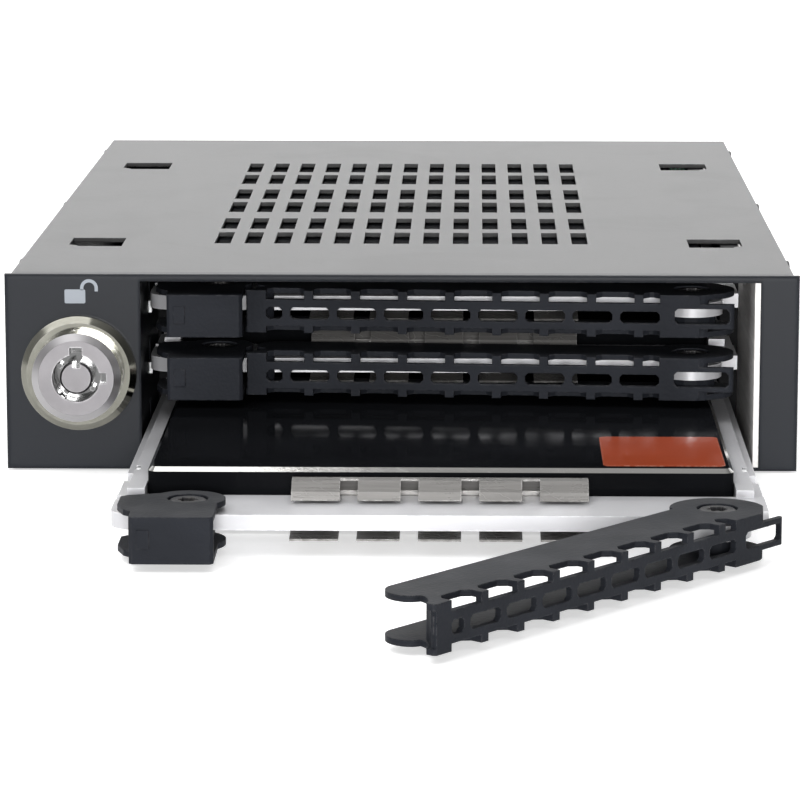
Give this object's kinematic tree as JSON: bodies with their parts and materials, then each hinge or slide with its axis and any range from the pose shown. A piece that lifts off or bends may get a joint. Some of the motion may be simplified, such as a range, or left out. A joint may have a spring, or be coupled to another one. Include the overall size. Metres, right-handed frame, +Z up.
{
  "type": "hot swap drive cage",
  "caption": "Flat black drive cage for a slim bay: keyed front panel, stacked sliding trays with perforated swing levers, one tray drawn out with its drive, vented cover and rear sockets.",
  "frame": {"origin": "centre of the four mounting holes in the underside, on the underside itself", "axes": "+X right seen from the front, +Y from the front panel to the rear, +Z up"},
  "size_m": [0.1016, 0.2461, 0.0254],
  "materials": {
    "black_paint": "semi-gloss black powder coat",
    "bright_nickel": "bright nickel-plated sheet",
    "black_plastic": "fine textured black moulding",
    "guide_plastic": "plain black moulding",
    "tray_metal": "satin bead-blasted silver",
    "drive_black": "gloss black case with a bright bevel",
    "spring_steel": "bright sprung stainless sheet",
    "lock_chrome": "polished chrome",
    "zinc_steel": "zinc-plated steel",
    "screw_black": "black oxide steel",
    "board_green": "green lacquered board",
    "socket_black": "black connector plastic"
  },
  "bodies": {
    "chassis": {"bezel": "black_paint", "bottom_chassis": "black_paint", "top_cover": "black_paint", "cover_screws": "screw_black", "left_inner_wall": "bright_nickel", "right_inner_wall": "bright_nickel", "left_runner_guide": "guide_plastic", "right_runner_guide": "guide_plastic", "backplane_board": "board_green", "board_screws": "zinc_steel", "power_socket": "socket_black", "drive_socket_lower": "socket_black", "drive_socket_middle": "socket_black", "drive_socket_upper": "socket_black", "data_socket_1": "socket_black", "data_socket_2": "socket_black", "data_socket_3": "socket_black", "lock_housing": "lock_chrome", "lock_nut": "zinc_steel", "lock_bracket": "zinc_steel"},
    "lock_core": {"lock_core": "lock_chrome", "lock_cam": "zinc_steel"},
    "lock_bar": {"lock_bar": "zinc_steel"},
    "tray_lower": {"tray_frame_lower": "tray_metal", "drive_lower": "drive_black", "drive_screws_lower": "zinc_steel", "spring_clip_lower": "spring_steel", "latch_screw_lower": "screw_black", "lever_screw_lower": "screw_black"},
    "lever_lower": {"lever_lower": "black_plastic"},
    "latch_lower": {"latch_block_lower": "black_plastic"},
    "tray_middle": {"tray_frame_middle": "tray_metal", "drive_middle": "drive_black", "drive_screws_middle": "zinc_steel", "spring_clip_middle": "spring_steel", "latch_screw_middle": "screw_black", "lever_screw_middle": "screw_black"},
    "lever_middle": {"lever_middle": "black_plastic"},
    "latch_middle": {"latch_block_middle": "black_plastic"},
    "tray_upper": {"tray_frame_upper": "tray_metal", "drive_upper": "drive_black", "drive_screws_upper": "zinc_steel", "spring_clip_upper": "spring_steel", "latch_screw_upper": "screw_black", "lever_screw_upper": "screw_black"},
    "lever_upper": {"lever_upper": "black_plastic"},
    "latch_upper": {"latch_block_upper": "black_plastic"}
  },
  "joints": [
    {"name": "lock_turn", "type": "hinge", "parent": "chassis", "child": "lock_core", "pos_m": [-0.0413, -0.08349, 0.0127], "axis": [0, 1, 0], "range_deg": [0, 90]},
    {"name": "lock_bar_lift", "type": "slide", "parent": "chassis", "child": "lock_bar", "axis": [0, 0, 1], "range_m": [0, 0.00283]},
    {"name": "tray_slide_lower", "type": "slide", "parent": "chassis", "child": "tray_lower", "axis": [0, -1, 0], "range_m": [-0.05812, 0.07188]},
    {"name": "lever_swing_lower", "type": "hinge", "parent": "tray_lower", "child": "lever_lower", "pos_m": [0.0374, -0.13481, 0.0008], "axis": [0, 0, 1], "range_deg": [-54, 16]},
    {"name": "latch_press_lower", "type": "hinge", "parent": "tray_lower", "child": "latch_lower", "pos_m": [-0.024, -0.13061, 0.0008], "axis": [0, 0, -1], "range_deg": [0, 4], "stiffness_Nm_per_rad": 0.05},
    {"name": "tray_slide_middle", "type": "slide", "parent": "chassis", "child": "tray_middle", "axis": [0, -1, 0], "range_m": [0, 0.13]},
    {"name": "lever_swing_middle", "type": "hinge", "parent": "tray_middle", "child": "lever_middle", "pos_m": [0.0374, -0.07669, 0.009], "axis": [0, 0, 1], "range_deg": [0, 70]},
    {"name": "latch_press_middle", "type": "hinge", "parent": "tray_middle", "child": "latch_middle", "pos_m": [-0.024, -0.0725, 0.009], "axis": [0, 0, -1], "range_deg": [0, 4], "stiffness_Nm_per_rad": 0.05},
    {"name": "tray_slide_upper", "type": "slide", "parent": "chassis", "child": "tray_upper", "axis": [0, -1, 0], "range_m": [0, 0.13]},
    {"name": "lever_swing_upper", "type": "hinge", "parent": "tray_upper", "child": "lever_upper", "pos_m": [0.0374, -0.07669, 0.0172], "axis": [0, 0, 1], "range_deg": [0, 70]},
    {"name": "latch_press_upper", "type": "hinge", "parent": "tray_upper", "child": "latch_upper", "pos_m": [-0.024, -0.0725, 0.0172], "axis": [0, 0, -1], "range_deg": [0, 4], "stiffness_Nm_per_rad": 0.05}
  ],
  "couplings": [
    {"joint": "lock_turn", "follows": "lock_bar_lift", "rad_per_m": 555.36}
  ]
}
